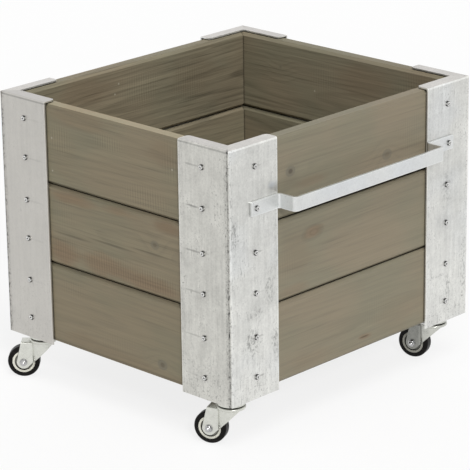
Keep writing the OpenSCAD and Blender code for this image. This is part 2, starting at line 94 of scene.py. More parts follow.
def smoothRange(tree, value, low, high, atLow=0.0, atHigh=1.0):
    node = tree.nodes.new("ShaderNodeMapRange")
    node.interpolation_type = "SMOOTHSTEP"
    feed(tree, node.inputs["Value"], value)
    node.inputs["From Min"].default_value = low
    node.inputs["From Max"].default_value = high
    node.inputs["To Min"].default_value = atLow
    node.inputs["To Max"].default_value = atHigh
    return node.outputs["Result"]


def mixed(tree, factor, a, b):
    node = tree.nodes.new("ShaderNodeMix")
    node.data_type = "RGBA"
    feed(tree, node.inputs[0], factor)
    for socket, value in ((node.inputs[6], a), (node.inputs[7], b)):
        feed(tree, socket, (*value, 1) if isinstance(value, tuple) else value)
    return node.outputs[2]


def shaded(tree, color, value):  # a colour made lighter or darker by value
    node = tree.nodes.new("ShaderNodeVectorMath")
    node.operation = "SCALE"
    feed(tree, node.inputs[0], color)
    feed(tree, node.inputs["Scale"], value)
    return node.outputs["Vector"]


def summed(tree, start, *terms):  # start plus (value - middle) * amount for each term
    total = start
    for value, middle, amount in terms:
        total = calc(tree, "MULTIPLY_ADD", calc(tree, "SUBTRACT", value, middle), amount, total)
    return total


def layered(tree, start, patterns, amounts, share=1.0):  # summed, with a middle and an amount by name
    terms = [(patterns[name], middle, amount * share) for name, (middle, amount) in amounts.items()]
    return summed(tree, start, *terms)


def bump(tree, height, strength, depth):
    node = tree.nodes.new("ShaderNodeBump")
    node.inputs["Strength"].default_value = strength
    node.inputs["Distance"].default_value = depth
    feed(tree, node.inputs["Height"], height)
    return node.outputs["Normal"]


def crease(tree, reach, darkest):  # painted shade, with some dirt, where another surface stands close by
    node = tree.nodes.new("ShaderNodeAmbientOcclusion")
    node.samples = creaseLook["samples"]
    node.inputs["Distance"].default_value = reach
    return smoothRange(tree, node.outputs["AO"], *creaseLook["openness"], darkest, 1.0)


def nearTo(tree, value, middle, reach, flat=0.3):  # 1 at middle, 0 from reach on; flat is a share of reach
    distance = calc(tree, "ABSOLUTE", calc(tree, "SUBTRACT", value, middle))
    return smoothRange(tree, distance, flat * reach, reach, 1.0, 0.0)


def ovalAround(tree, a, b, middleA, middleB, reachA, reachB):  # 0 at the middle, 1 at the oval's edge
    a = calc(tree, "DIVIDE", calc(tree, "SUBTRACT", a, middleA), reachA)
    b = calc(tree, "DIVIDE", calc(tree, "SUBTRACT", b, middleB), reachB)
    return calc(tree, "SQRT", calc(tree, "ADD", calc(tree, "MULTIPLY", a, a), calc(tree, "MULTIPLY", b, b)))


def patchAt(tree, a, b, spot, edge, ragged=1.2, flat=0.25):  # a filled oval, its edge made ragged by a noise
    *oval, strength = spot
    distance = ovalAround(tree, a, b, *(value * mm for value in oval))
    distance = summed(tree, distance, (edge, 0.5, ragged))
    return smoothRange(tree, distance, flat, 1.0, strength, 0.0)


def largest(tree, values):
    total = values[0]
    for value in values[1:]:
        total = calc(tree, "MAXIMUM", total, value)
    return total


def separated(tree, vector):
    node = tree.nodes.new("ShaderNodeSeparateXYZ")
    feed(tree, node.inputs[0], vector)
    return node.outputs


def newFinish(name, metallic=0.0, specular=0.5):
    mat = bpy.data.materials.new(name)
    mat.use_nodes = True
    tree = mat.node_tree
    shader = tree.nodes["Principled BSDF"]
    shader.inputs["Metallic"].default_value = metallic
    shader.inputs["Specular IOR Level"].default_value = specular
    position = tree.nodes.new("ShaderNodeTexCoord").outputs["Object"]
    return mat, tree, shader, position


def finishSurface(tree, shader, color, patterns, look):  # its roughness and relief come from the patterns
    feed(tree, shader.inputs["Base Color"], color)
    feed(tree, shader.inputs["Roughness"], layered(tree, look["roughness"], patterns, look["rough"]))
    height = layered(tree, 0.0, patterns, look["relief"])
    feed(tree, shader.inputs["Normal"], bump(tree, height, *look["bump"]))


def wear(node, mat):
    piece = nodes[node]
    for place in range(len(piece.data.materials)):
        piece.data.materials[place] = mat


# in the looks below, tones, rough and relief give each pattern's middle and how much it adds from there;
# bump is strength and depth; a range is from where to where, with the values at both ends if it has four


# stained boards

boardLook = {
    "brown": (0.250, 0.211, 0.140),
    "grey": (0.219, 0.199, 0.133),
    "greying": (0.35, 0.65),      # range of the patches over which brown turns grey
    "warm": (0.215, 0.158, 0.098),
    "knot": (0.075, 0.062, 0.048),
    "halo": (0.148, 0.138, 0.108),
    "filler": (0.42, 0.39, 0.31),
    "specular": 0.35,
    "ringWidth": 5.2 * mm,
    "ringDarkens": (0.45, 0.88),  # shares of a ring's width
    "ringPales": (0.90, 1.0),
    "pithDepth": 0.085,           # from the board's middle to the tree's
    "pithSpread": 50,             # mm that the height of the tree's middle is spread over
    "pithStep": 37,               # mm from one board's to the next one's, within that spread
    "taper": 0.022,
    "wander": 0.012,              # how far the rings leave their round
    "knotLength": 1.25,           # of a knot along the board, as a multiple of its height
    "knotSwell": 0.007,           # how far the rings bend round a knot
    "knotReach": 0.040,
    "knotCore": (0.35, 0.8),      # range over which the core fades, in radii of the knot
    "haloAt": 0.9,                # place and reach of the dark line round the core, in radii too
    "haloReach": 0.5,
    "dotEdge": (1.2 * mm, 2.2 * mm),
    "dotStrength": 0.8,
    "ribPitch": 6 * mm,           # of the marks that the planer left across the grain
    "ribDrift": 9.0,              # how far a patch shifts them, in radians of their wave
    "hairlines": (0.60, 0.72),    # range of the hair noise that shows
    "shadeRagged": 0.5,
    "ovalAt": 0.85,               # place and reach of an oval's line, in radii of the oval
    "ovalReach": 0.35,
    "ovalRagged": 0.5,
    "bevel": 5 * mm,
    "bevelEdge": (0.9, 1.1),      # as shares of the bevel
    "narrowEdge": (0.1 * mm, 0.6 * mm),
    "creaseReach": 6 * mm,
    "creaseDark": 0.15,
    "noises": {                   # seed, scale along, across and up the board, detail, roughness
        "wander": (0, (1.9, 7, 7), 3.0, 0.5),
        "fibre": (0, (14, 620, 620), 3.0, 0.6),
        "streak": (3, (3.2, 120, 120), 3.0, 0.5),
        "strand": (5, (9, 270, 270), 2.0, 0.5),
        "hair": (9, (4.5, 250, 250), 2.0, 0.5),
        "patch": (7, (5, 9, 9), 2.0, 0.5),
        "edge": (13, (14, 40, 40), 3.0, 0.5),
    },
    "grainTones": {"late": (0.25, -0.075), "fibre": (0.5, 0.30), "streak": (0.5, 0.26),
                   "strand": (0.5, 0.22), "hairline": (0.08, -0.12)},
    "planedTones": {"patch": (0.5, 0.10), "ribs": (0.0, 0.11)},
    "roughness": 0.60,
    "rough": {"fibre": (0.5, 0.25), "late": (0.3, -0.08)},
    "relief": {"fibre": (0.5, 0.8), "late": (0.3, 0.35), "hairline": (0.0, -0.6), "ribs": (0.0, 0.35)},
    "bump": (0.35, 0.35 * mm),
}

# tone and tint of a wall's boards, how much lighter the stain is on their bevels and on the narrow faces
# above and below, and how strong their grain is; the right and back walls' lower tones, seen inside the box,
# are in part painted shade, the left wall's lighter narrow faces a painted highlight and the front's darker
# bevels a painted shade
wallTones = {
    "front": {"tone": 1.00, "tint": (1.0, 1.0, 1.05), "bevel": -0.10, "narrow": -0.02, "grain": 0.85},
    "left": {"tone": 0.97, "tint": (1.01, 1.0, 0.99), "bevel": -0.22, "narrow": 0.44, "grain": 1.1},
    "right": {"tone": 0.90, "tint": (1.0, 1.0, 1.0), "bevel": -0.04, "narrow": -0.04, "grain": 1.5},
    "back": {"tone": 0.94, "tint": (1.0, 1.0, 1.0), "bevel": -0.04, "narrow": -0.04, "grain": 2.0},
}

# all places are the distance along the board and the height, both from its middle, in mm
# knots: place, radius, how dark the core and the line round it are; dots: place of a filled hole
# warm and ribs: place, half length, half height, strength
# shades: as those, with how much lighter, for scratches, a crack and the shade in a corner
# ovals: as shades, but only the oval's line
# tone and grain: how much lighter the board is than its wall, and its grain as a share of the wall's
boardMarks = {
    "board_front_upper": {
        "knots": [(89, -21, 8, 0.35, 0.45), (-155, 6, 7.5, 0.80, 0.55)],
        "warm": [(-110, -22, 60, 14, 0.40), (60, -52, 90, 12, 0.25)],
        "ribs": [(150, 0, 40, 60, 0.35)],
        "shades": [(20, -2, 60, 1.6, -0.07), (-20, 12, 70, 1.6, -0.06), (60, 22, 50, 1.6, -0.05)],
    },
    "board_front_middle": {
        "tone": 0.03,
        "knots": [],
        "warm": [(-102, 30, 34, 17, 0.85), (-140, 5, 60, 60, 0.30), (-150, -58, 45, 16, 0.45)],
        "ribs": [(-165, -20, 30, 50, 0.30)],
        "ovals": [(-102, 30, 26, 14, -0.10), (-98, 31, 11, 6, -0.10)],
        "shades": [(-60, 6, 70, 1.5, -0.06), (40, -8, 80, 1.6, -0.05), (60, 26, 60, 1.5, -0.05)],
    },
    "board_front_lower": {
        "knots": [],
        "warm": [(-120, -50, 70, 20, 0.25), (120, -30, 70, 50, 0.20), (31, -49, 24, 7, 0.9)],
        "ribs": [(60, -10, 40, 40, 0.25)],
        "shades": [(31, -49, 18, 2.4, -0.50), (22, -27, 22, 1.6, 0.12), (44, -34, 16, 1.4, 0.10),
                   (68, -40, 24, 1.4, 0.08), (-90, 20, 70, 1.5, -0.05)],
    },
    "board_left_upper": {
        "knots": [],
        "dots": [(150, 13), (151, -46), (-143, 16)],
        "warm": [(80, 58, 120, 26, 0.45), (-120, 40, 60, 34, 0.40), (120, -10, 50, 60, 0.15)],
        "ribs": [(130, 12, 34, 36, 0.9), (15, 31, 50, 18, 0.9), (-80, -46, 85, 30, 0.8),
                 (-140, 25, 26, 45, 0.7)],
    },
    "board_left_middle": {
        "knots": [(-98, 20, 6.5, 0.45, 0.40)],
        "warm": [(105, 58, 80, 15, 0.85), (-20, 60, 60, 12, 0.70), (-130, 58, 42, 15, 0.85),
                 (125, -42, 64, 32, 0.95), (15, -46, 105, 32, 0.90), (-80, -54, 85, 24, 0.90)],
        "ribs": [(120, -35, 60, 30, 0.8), (10, -42, 100, 28, 1.0), (-90, -46, 80, 24, 1.0),
                 (125, 25, 40, 45, 0.35)],
        "shades": [(110, -11, 62, 2.8, -0.32), (8, -4, 74, 2.6, -0.30), (-92, 3, 72, 2.6, -0.30),
                   (40, 14, 26, 1.6, -0.14), (-60, -18, 50, 1.6, -0.12)],
    },
    "board_left_lower": {
        "tone": -0.02,
        "grain": 0.80,
        "knots": [(-110, -47, 7.5, 0.60, 0.50)],
        "warm": [(-20, -62, 170, 22, 0.35), (90, -58, 70, 24, 0.30)],
        "ribs": [(110, 40, 50, 25, 0.35), (0, -40, 60, 30, 0.25)],
        "shades": [(-104, -40, 10, 1.6, -0.16)],
    },
    "board_right_upper": {
        "knots": [(149, 22, 3.0, 0.3, 0.2)],
        "dots": [(63, -9)],
        "warm": [(-60, 30, 90, 40, 0.40), (-200, 30, 60, 60, 0.50)],
        "ribs": [(-190, 20, 70, 60, 0.9), (40, 10, 50, 50, 0.5)],
    },
    "board_right_middle": {
        "knots": [(-40, 12, 6.0, 0.4, 0.2)],
        "warm": [(60, 0, 160, 60, 0.55)],
        "ribs": [(-160, 10, 60, 50, 0.5)],
    },
    "board_right_lower": {
        "knots": [(110, -20, 7.0, 0.5, 0.2)],
        "dots": [(-120, 30)],
        "warm": [(60, 20, 100, 30, 0.35)],
        "ribs": [(0, -20, 80, 40, 0.5)],
    },
    "board_back_upper": {
        "knots": [],
        "dots": [(-52, 40), (-62, 22)],
        "warm": [(-150, 40, 110, 40, 0.45), (140, 20, 90, 50, 0.35)],
        "ribs": [(0, 20, 60, 50, 0.7), (120, 10, 50, 50, 0.6)],
        "shades": [(210, 0, 210, 110, -0.22)],
    },
    "board_back_middle": {
        "knots": [(60, -25, 7.0, 0.4, 0.2), (-170, 30, 4.0, 0.4, 0.2)],
        "warm": [(-60, 10, 120, 50, 0.40)],
        "ribs": [(80, 20, 70, 40, 0.5)],
    },
    "board_back_lower": {
        "knots": [(-20, 30, 5.0, 0.4, 0.2)],
        "dots": [(160, -10)],
        "warm": [(80, -30, 110, 30, 0.40)],
        "ribs": [(-120, 0, 70, 40, 0.5)],
    },
}


def alongBoard(tree, position, low, high):  # from the board's middle: along it, across it, up
    alongY = high.y - low.y > high.x - low.x
    return placed(tree, position, place=(low + high) / 2, turn=math.pi / 2 if alongY else 0.0)


def pithShift(look, seed):  # of the tree's middle, up or to one side, its own for each piece of wood
    return (seed * look["pithStep"] % look["pithSpread"] - look["pithSpread"] / 2) * mm


def fromPith(tree, local, pith):  # distance from the tree's middle, which runs along the board
    offset = vectorCalc(tree, "SUBTRACT", local, pith)
    return vectorCalc(tree, "LENGTH", vectorCalc(tree, "MULTIPLY", offset, (0, 1, 1)))


def growthRings(tree, local, marks, wood, seed):  # the late wood, and the cores and halos of the knots
    look = boardLook
    along, _, up = separated(tree, local)
    side = 1 if seed % 2 else -1
    radius = fromPith(tree, local, (0, side * look["pithDepth"], pithShift(look, seed)))
    radius = summed(tree, radius, (along, 0.0, look["taper"] * side), (wood["wander"], 0.5, look["wander"]))
    cores, halos = [], []
    for x, z, size, core, halo in marks["knots"]:
        distance = ovalAround(tree, along, up, x * mm, z * mm, look["knotLength"], 1.0)
        swell = smoothRange(tree, distance, 0.0, look["knotReach"], look["knotSwell"], 0.0)
        radius = calc(tree, "ADD", radius, swell)
        inside, outside = (size * share * mm for share in look["knotCore"])
        cores.append(smoothRange(tree, distance, inside, outside, core, 0.0))
        line = nearTo(tree, distance, size * look["haloAt"] * mm, size * look["haloReach"] * mm)
        halos.append(calc(tree, "MULTIPLY", line, halo))
    turn = calc(tree, "FRACT", calc(tree, "DIVIDE", radius, look["ringWidth"]))
    late = calc(tree, "MULTIPLY", smoothRange(tree, turn, *look["ringDarkens"]),
                smoothRange(tree, turn, *look["ringPales"], 1.0, 0.0))
    return late, cores, halos


def planerRibs(tree, along, up, marks, wood):
    look = boardLook
    turn = calc(tree, "MULTIPLY", along, 2 * math.pi / look["ribPitch"])
    wave = calc(tree, "SINE", summed(tree, turn, (wood["patch"], 0.5, look["ribDrift"])))
    place = largest(tree, [patchAt(tree, along, up, spot, wood["edge"]) for spot in marks["ribs"]])
    return calc(tree, "MULTIPLY", wave, place)


def shadedMarks(tree, value, along, up, marks, wood):
    look = boardLook
    for spot in marks.get("shades", ()):
        shade = patchAt(tree, along, up, spot, wood["edge"], look["shadeRagged"])
        value = calc(tree, "ADD", value, shade)
    for *oval, shade in marks.get("ovals", ()):
        distance = ovalAround(tree, along, up, *(place * mm for place in oval))
        distance = summed(tree, distance, (wood["edge"], 0.5, look["ovalRagged"]))
        value = summed(tree, value, (nearTo(tree, distance, look["ovalAt"], look["ovalReach"]), 0.0, shade))
    return value


def boardFinish(name, seed):
    look, marks, wall = boardLook, boardMarks[name], wallTones[name.split("_")[1]]
    low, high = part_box(name)
    mat, tree, shader, position = newFinish(name + "_stain", specular=look["specular"])
    local = alongBoard(tree, position, low, high)
    along, _, up = separated(tree, local)
    wood = stretchedNoises(tree, local, seed, look["noises"])
    late, cores, halos = growthRings(tree, local, marks, wood, seed)
    hairline = smoothRange(tree, wood["hair"], *look["hairlines"])
    ribs = planerRibs(tree, along, up, marks, wood)
    patterns = {**wood, "late": late, "hairline": hairline, "ribs": ribs}

    # the stain: brown and grey, with warm places, and toned by the grain, the planing and the edges
    color = mixed(tree, smoothRange(tree, wood["patch"], *look["greying"]), look["brown"], look["grey"])
    warmth = largest(tree, [patchAt(tree, along, up, spot, wood["edge"]) for spot in marks["warm"]])
    color = mixed(tree, warmth, color, look["warm"])
    grain = wall["grain"] * marks.get("grain", 1.0)
    value = layered(tree, wall["tone"] + marks.get("tone", 0.0), patterns, look["grainTones"], grain)
    value = layered(tree, value, patterns, look["planedTones"])
    fromEnd = calc(tree, "SUBTRACT", (high.z - low.z) / 2, calc(tree, "ABSOLUTE", up))
    onBevel = smoothRange(tree, fromEnd, *(look["bevel"] * share for share in look["bevelEdge"]), 1.0, 0.0)
    onNarrow = smoothRange(tree, fromEnd, *look["narrowEdge"], 1.0, 0.0)
    value = summed(tree, value, (onBevel, 0.0, wall["bevel"]),
                   (onNarrow, 0.0, wall["narrow"] - wall["bevel"]))
    value = shadedMarks(tree, value, along, up, marks, wood)
    color = vectorCalc(tree, "MULTIPLY", shaded(tree, color, value), wall["tint"])

    # knots and filled holes lie over the stain
    if cores:
        color = mixed(tree, largest(tree, halos), color, look["halo"])
        color = mixed(tree, largest(tree, cores), color, look["knot"])
    for x, z in marks.get("dots", ()):
        distance = ovalAround(tree, along, up, x * mm, z * mm, 1.0, 1.0)
        near = smoothRange(tree, distance, *look["dotEdge"], look["dotStrength"], 0.0)
        color = mixed(tree, near, color, look["filler"])
    shade = crease(tree, look["creaseReach"], look["creaseDark"])
    finishSurface(tree, shader, shaded(tree, color, shade), patterns, look)
    return mat


for seed, name in enumerate(boardMarks, 1):
    wear(name, boardFinish(name, seed))
print("boards stained:", len(boardMarks))


# planting floor

floorLook = {
    "pale": (0.215, 0.185, 0.132),
    "dark": (0.150, 0.125, 0.088),
    "specular": 0.3,
    "ringWidth": 5 * mm,
    "ringDarkens": (0.3, 0.9),
    "pithDepth": 0.06,            # from the wood's middle down to the tree's
    "pithSpread": 70,             # these two are in mm, as on the boards
    "pithStep": 29,
    "wander": 0.02,
    "noises": {
        "wander": (0, (2.5, 8, 8), 3.0, 0.5),
        "fibre": (0, (12, 420, 420), 3.0, 0.6),
        "sawn": (2, (320, 5, 5), 2.0, 0.5),
    },
    "tones": {"fibre": (0.5, 0.6), "sawn": (0.5, 0.25)},
    "roughness": 0.75,
    "rough": {"fibre": (0.5, 0.2)},
    "relief": {"fibre": (0.5, 1.0), "sawn": (0.5, 0.7)},
    "bump": (0.5, 0.5 * mm),
}

floorSeeds = {
    "floor_slat_1": 1,
    "floor_slat_2": 2,
    "floor_slat_3": 3,
    "floor_slat_4": 4,
    "floor_bearer_left": 6,
    "floor_bearer_right": 7,
}


def floorFinish(name, seed):
    look = floorLook
    mat, tree, shader, position = newFinish(name + "_wood", specular=look["specular"])
    local = alongBoard(tree, position, *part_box(name))
    wood = stretchedNoises(tree, local, seed, look["noises"])
    radius = fromPith(tree, local, (0, pithShift(look, seed), -look["pithDepth"]))
    radius = summed(tree, radius, (wood["wander"], 0.5, look["wander"]))
    turn = calc(tree, "FRACT", calc(tree, "DIVIDE", radius, look["ringWidth"]))
    color = mixed(tree, smoothRange(tree, turn, *look["ringDarkens"]), look["pale"], look["dark"])
    value = layered(tree, 1.0, wood, look["tones"])
    finishSurface(tree, shader, shaded(tree, color, value), wood, look)
    return mat


for name, seed in floorSeeds.items():
    wear(name, floorFinish(name, seed))
print("floor finished:", len(floorSeeds))


# galvanised steel

zincLook = {
    "grey": (0.656, 0.656, 0.628),
    "blue": (0.585, 0.615, 0.650),
    "stain": (0.26, 0.255, 0.24),
    # the lips' tops: a little pinker than the zinc, and darker as a painted shade
    "lip": (0.600, 0.580, 0.552),
    "metallic": 0.75,
    "tint": (9.0, 2.0),           # scale and detail of the noise that turns grey to blue
    "tintRange": (0.45, 0.75),
    "tintShare": 0.30,
}

# the handle and the foot plates; a noise is its scale, detail and roughness
flatLook = {
    "cloud": (30.0, 4.0, 0.6),
    "grain": (300.0, 3.0, 0.75),
    "speck": (210.0, 2.0),
    "specks": (0.64, 0.72),       # range of the speck noise that shows
    # a painted highlight along the top and bottom edges
    "edgeHighlight": (0.3 * mm, 2.0 * mm, 1.0, 0.0),
    "creaseReach": 4 * mm,
    "tones": {"cloud": (0.5, 0.22), "grain": (0.5, 0.30), "speck": (0.0, -0.16), "edge": (0.0, 0.14)},
    "roughness": 0.36,
    "rough": {"cloud": (0.5, 0.25), "grain": (0.5, 0.15)},
    "relief": {"cloud": (0.5, 1.0), "grain": (0.5, 0.30)},
    "bump": (0.30, 0.5 * mm),
}

# tone, how blue the zinc is at least, and how dark the painted shade in its corners is
flatTones = {
    "foot_plate": {"tone": 1.0, "blue": 0.1, "creaseDark": 0.35},
    "handle": {"tone": 1.08, "blue": 0.30, "creaseDark": 0.60},
}

# the side leg faces left or right, and the front leg faces front or back
postLook = {
    # painted shade: the side leg is this much as light as the front leg
    "sideShade": 0.925,
    "sideTint": (1.0, 0.990, 0.965),
    "legWidth": 115 * mm,
    "foldRadius": 3.5 * mm,
    "foldBlend": 1 * mm,          # on either side of the line between the legs
    "lipEdge": (0.3 * mm, 1.0 * mm, 1.0, 0.0),    # below the top
    "cloud": (24.0, 4.0, 0.6),
    "mottle": (95.0, 3.0, 0.7),
    "grain": (330.0, 3.0, 0.75),
    "streak": ((150, 150, 9), 4.0, 0.6),
    "scratch": ((480, 480, 55), 2.0),
    "speck": (290.0, 2.0),
    "grime": (330.0, 2.0),
    "grimeStretch": (1, 1, 0.6),
    "scratches": (0.60, 0.70),    # ranges of these noises that show
    "specks": (0.60, 0.68),
    "grimes": (0.50, 0.60),
    # where scratches and specks show: low on the post, by the fold, by the cut edge and in the clouds
    "wornLow": (330 * mm, 440 * mm, 0.0, 0.9),
    "wornFold": (4 * mm, 16 * mm, 1.0, 0.0),
    "wornEdge": (95 * mm, 115 * mm, 0.0, 0.6),
    "wornCloud": (0.50, 0.66, 0.12, 0.95),
    "foldBand": (5 * mm, 13 * mm, 1.0, 0.0),
    "foldBandBreaks": (0.35, 0.60, 0.3, 1.0),     # of the mottle
    # painted reflections: foldLine and topLine are dark lines, foldShine, topShine and cutEdge highlights
    "foldLine": 2.0 * mm,         # this, foldShine and topLine are half widths round the fold's radius
    "foldLineBreaks": (0.40, 0.60, 0.4, 1.0),     # of the grain
    "foldShine": 2.6 * mm,
    "cutEdge": (2.6 * mm, 1.2 * mm),              # in from the leg's edge
    "topLine": 2.2 * mm,
    "topShine": (2.2 * mm, 2.2 * mm),             # below the top, and its half width
    "lowWhite": (230 * mm, 400 * mm),
    "wearTones": {"cloud": (0.5, 0.48), "mottle": (0.5, 0.24), "grain": (0.5, 0.42),
                  "streak": (0.5, 0.40), "marks": (0.0, -0.40)},
    # foldLine and topLine darken, and foldShine, cutEdge and topShine lighten, as painted reflections
    "edgeTones": {"foldBand": (0.0, -0.16), "foldGrime": (0.0, -0.34), "foldLine": (0.0, -0.34),
                  "foldShine": (0.0, 0.12), "cutEdge": (0.0, 0.12), "topLine": (0.0, -0.26),
                  "topShine": (0.0, 0.24), "lowWhite": (0.0, 0.09)},
    "smudgeTones": {"smudge": (0.0, -0.05), "smudgeGrime": (0.0, -0.40)},
    "creaseReach": 3.5 * mm,
    "creaseDark": 0.40,
    "roughness": 0.36,
    "rough": {"streak": (0.5, 0.15), "cloud": (0.5, 0.25), "mottle": (0.5, 0.15)},
    "relief": {"cloud": (0.5, 1.0), "mottle": (0.5, 0.40), "grain": (0.5, 0.40), "marks": (0.0, -0.3)},
    "bump": (0.35, 0.6 * mm),
}

# dark runs beside the screws: half the length on each leg, half the height, and how dark from the top down
runLook = {
    "sideLength": 24 * mm,
    "frontLength": 10 * mm,
    "height": 2.4 * mm,
    "sideDark": (0.46, 0.76, 0.64, 0.46, 0.38, 0.13),
    "frontDark": (0.30, 0.0, 0.40, 0.20, 0.40, 0.45),
    "edge": (0.35, 1.05),
    "ragged": 0.8,
    "screwInset": 61 * mm,
    "screwLow": 39 * mm,          # of a course's lower screw above the start of its third of the post
    "screwHigh": 38.5 * mm,       # of its upper screw below the end of that third
}

# a bluish place above the handle's left tab
blueSpot = {
    "corner": "front_left",
    "fromFold": 102 * mm,
    "height": 365 * mm,           # above the foot
    "halfWidth": 15 * mm,
    "halfHeight": 10 * mm,
    "fade": (0.1, 1.0, 0.7, 0.0),
}

# smudges: distance from the fold, height above the foot, half width and half height in mm, strength
frontSmudges = {
    "front_left": [(50, 98, 28, 36, 1.0), (106, 92, 11, 44, 1.0), (66, 24, 8, 14, 0.7),
                   (14, 296, 13, 40, 1.0), (92, 190, 16, 44, 0.7), (58, 150, 30, 18, 0.6)],
    "front_right": [(55, 60, 9, 40, 1.0), (84, 92, 32, 4, 0.9), (12, 90, 12, 90, 0.7),
                    (60, 250, 20, 40, 0.6)],
}

# how marked the zinc is, how light the side leg is against the others as a painted shade, how strong the
# runs are, and the side leg's tint where it has its own
postWearAndShade = {
    "front_left": {"marks": 1.0, "side": 0.98, "runs": 1.0},
    "front_right": {"marks": 0.95, "side": 1.0, "runs": 0.35},
    "back_left": {"marks": 0.34, "side": 0.905, "runs": 0.25, "tint": (1.0, 0.972, 0.950)},
    "back_right": {"marks": 0.80, "side": 1.0, "runs": 0.30},
}


def zincColor(tree, position, blueShare):
    tint = smoothRange(tree, noise(tree, position, *zincLook["tint"]), *zincLook["tintRange"])
    share = calc(tree, "MULTIPLY_ADD", tint, zincLook["tintShare"], blueShare)
    return mixed(tree, share, zincLook["grey"], zincLook["blue"])


def flatFinish(node, seed):
    look, tones = flatLook, flatTones["handle" if node == "handle" else "foot_plate"]
    mat, tree, shader, position = newFinish("zinc_" + node, metallic=zincLook["metallic"])
    low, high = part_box(node)
    z = separated(tree, position)[2]
    fromEdge = calc(tree, "MINIMUM", calc(tree, "SUBTRACT", z, low.z), calc(tree, "SUBTRACT", high.z, z))
    patterns = {
        "cloud": noise(tree, placed(tree, position, "POINT", place=(seed, 0, 0)), *look["cloud"]),
        "grain": noise(tree, position, *look["grain"]),
        "speck": smoothRange(tree, noise(tree, position, *look["speck"]), *look["specks"]),
        # painted highlight along the top and bottom edges
        "edge": smoothRange(tree, fromEdge, *look["edgeHighlight"]),
    }
    value = layered(tree, tones["tone"], patterns, look["tones"])
    value = calc(tree, "MULTIPLY", value, crease(tree, look["creaseReach"], tones["creaseDark"]))
    color = shaded(tree, zincColor(tree, position, tones["blue"]), value)
    finishSurface(tree, shader, color, patterns, look)
    return mat


def postPatterns(tree, position, fromFold, below, seed):  # clouds, drips, grain, marks and grime of the zinc
    look = postLook
    cloud = noise(tree, placed(tree, position, "POINT", place=(seed, 0, seed)), *look["cloud"])
    scratch = smoothRange(tree, stretchedNoise(tree, position, seed, *look["scratch"]), *look["scratches"])
    speck = smoothRange(tree, noise(tree, position, *look["speck"]), *look["specks"])
    worn = largest(tree, [smoothRange(tree, below, *look["wornLow"]),
                          smoothRange(tree, fromFold, *look["wornFold"]),
                          smoothRange(tree, fromFold, *look["wornEdge"]),
                          smoothRange(tree, cloud, *look["wornCloud"])])
    grime = noise(tree, placed(tree, position, "POINT", scale=look["grimeStretch"]), *look["grime"])
    return {
        "cloud": cloud,
        "mottle": noise(tree, placed(tree, position, "POINT", place=(0, seed, 0)), *look["mottle"]),
        "grain": noise(tree, position, *look["grain"]),
        "streak": stretchedNoise(tree, position, seed, *look["streak"]),
        "marks": calc(tree, "MULTIPLY", calc(tree, "MAXIMUM", speck, scratch), worn),
        "grime": smoothRange(tree, grime, *look["grimes"]),
    }


def postEdges(tree, patterns, fromFold, below, onSide, onFront):  # painted reflections: dark on the side leg, bright on the front
    look = postLook
    foldBand = calc(tree, "MULTIPLY", onSide, smoothRange(tree, fromFold, *look["foldBand"]))
    breaks = smoothRange(tree, patterns["mottle"], *look["foldBandBreaks"])
    foldBand = calc(tree, "MULTIPLY", foldBand, breaks)
    foldLine = nearTo(tree, fromFold, look["foldRadius"], look["foldLine"])
    breaks = smoothRange(tree, patterns["grain"], *look["foldLineBreaks"])
    foldShine = nearTo(tree, fromFold, look["foldRadius"], look["foldShine"])
    cutEdge = (look["legWidth"] - inset for inset in look["cutEdge"])
    topLine = nearTo(tree, below, look["foldRadius"], look["topLine"])
    # foldBand is a darker band by the fold; the lines, shines and cut edge are painted reflections
    return {
        "foldBand": foldBand,
        "foldGrime": calc(tree, "MULTIPLY", foldBand, patterns["grime"]),
        "foldLine": calc(tree, "MULTIPLY", calc(tree, "MULTIPLY", onSide, foldLine), breaks),
        "foldShine": calc(tree, "MULTIPLY", onFront, foldShine),
        "cutEdge": smoothRange(tree, fromFold, *cutEdge),
        "topLine": calc(tree, "MULTIPLY", onSide, topLine),
        "topShine": calc(tree, "MULTIPLY", onFront, nearTo(tree, below, *look["topShine"])),
        "lowWhite": calc(tree, "MULTIPLY", onFront, smoothRange(tree, below, *look["lowWhite"])),
    }


def smudged(tree, value, patterns, fromFold, height, onFront, spots):
    smudge = largest(tree, [patchAt(tree, fromFold, height, spot, patterns["mottle"]) for spot in spots])
    smudge = calc(tree, "MULTIPLY", smudge, onFront)
    layers = {"smudge": smudge, "smudgeGrime": calc(tree, "MULTIPLY", smudge, patterns["grime"])}
    return layered(tree, value, layers, postLook["smudgeTones"])


def screwHeights(low, high):  # of one leg's six screws, from the top
    third = (high.z - low.z) / 3
    heights = [low.z + course * third + runLook["screwLow"] for course in range(3)]
    heights += [low.z + (course + 1) * third - runLook["screwHigh"] for course in range(3)]
    return sorted(heights, reverse=True)


def screwRuns(tree, color, patterns, fromFold, z, onSide, heights, strength):
    look = runLook
    half = calc(tree, "MULTIPLY_ADD", onSide, look["sideLength"] - look["frontLength"], look["frontLength"])
    middle = calc(tree, "ADD", half, look["screwInset"])
    for height, sideDark, frontDark in zip(heights, look["sideDark"], look["frontDark"]):
        distance = ovalAround(tree, fromFold, z, middle, height, half, look["height"])
        distance = summed(tree, distance, (patterns["streak"], 0.5, look["ragged"]),
                          (patterns["mottle"], 0.5, look["ragged"]))
        dark = calc(tree, "MULTIPLY_ADD", onSide, sideDark - frontDark, frontDark)
        near = calc(tree, "MULTIPLY", smoothRange(tree, distance, *look["edge"], strength, 0.0), dark)
        color = mixed(tree, near, color, zincLook["stain"])
    return color


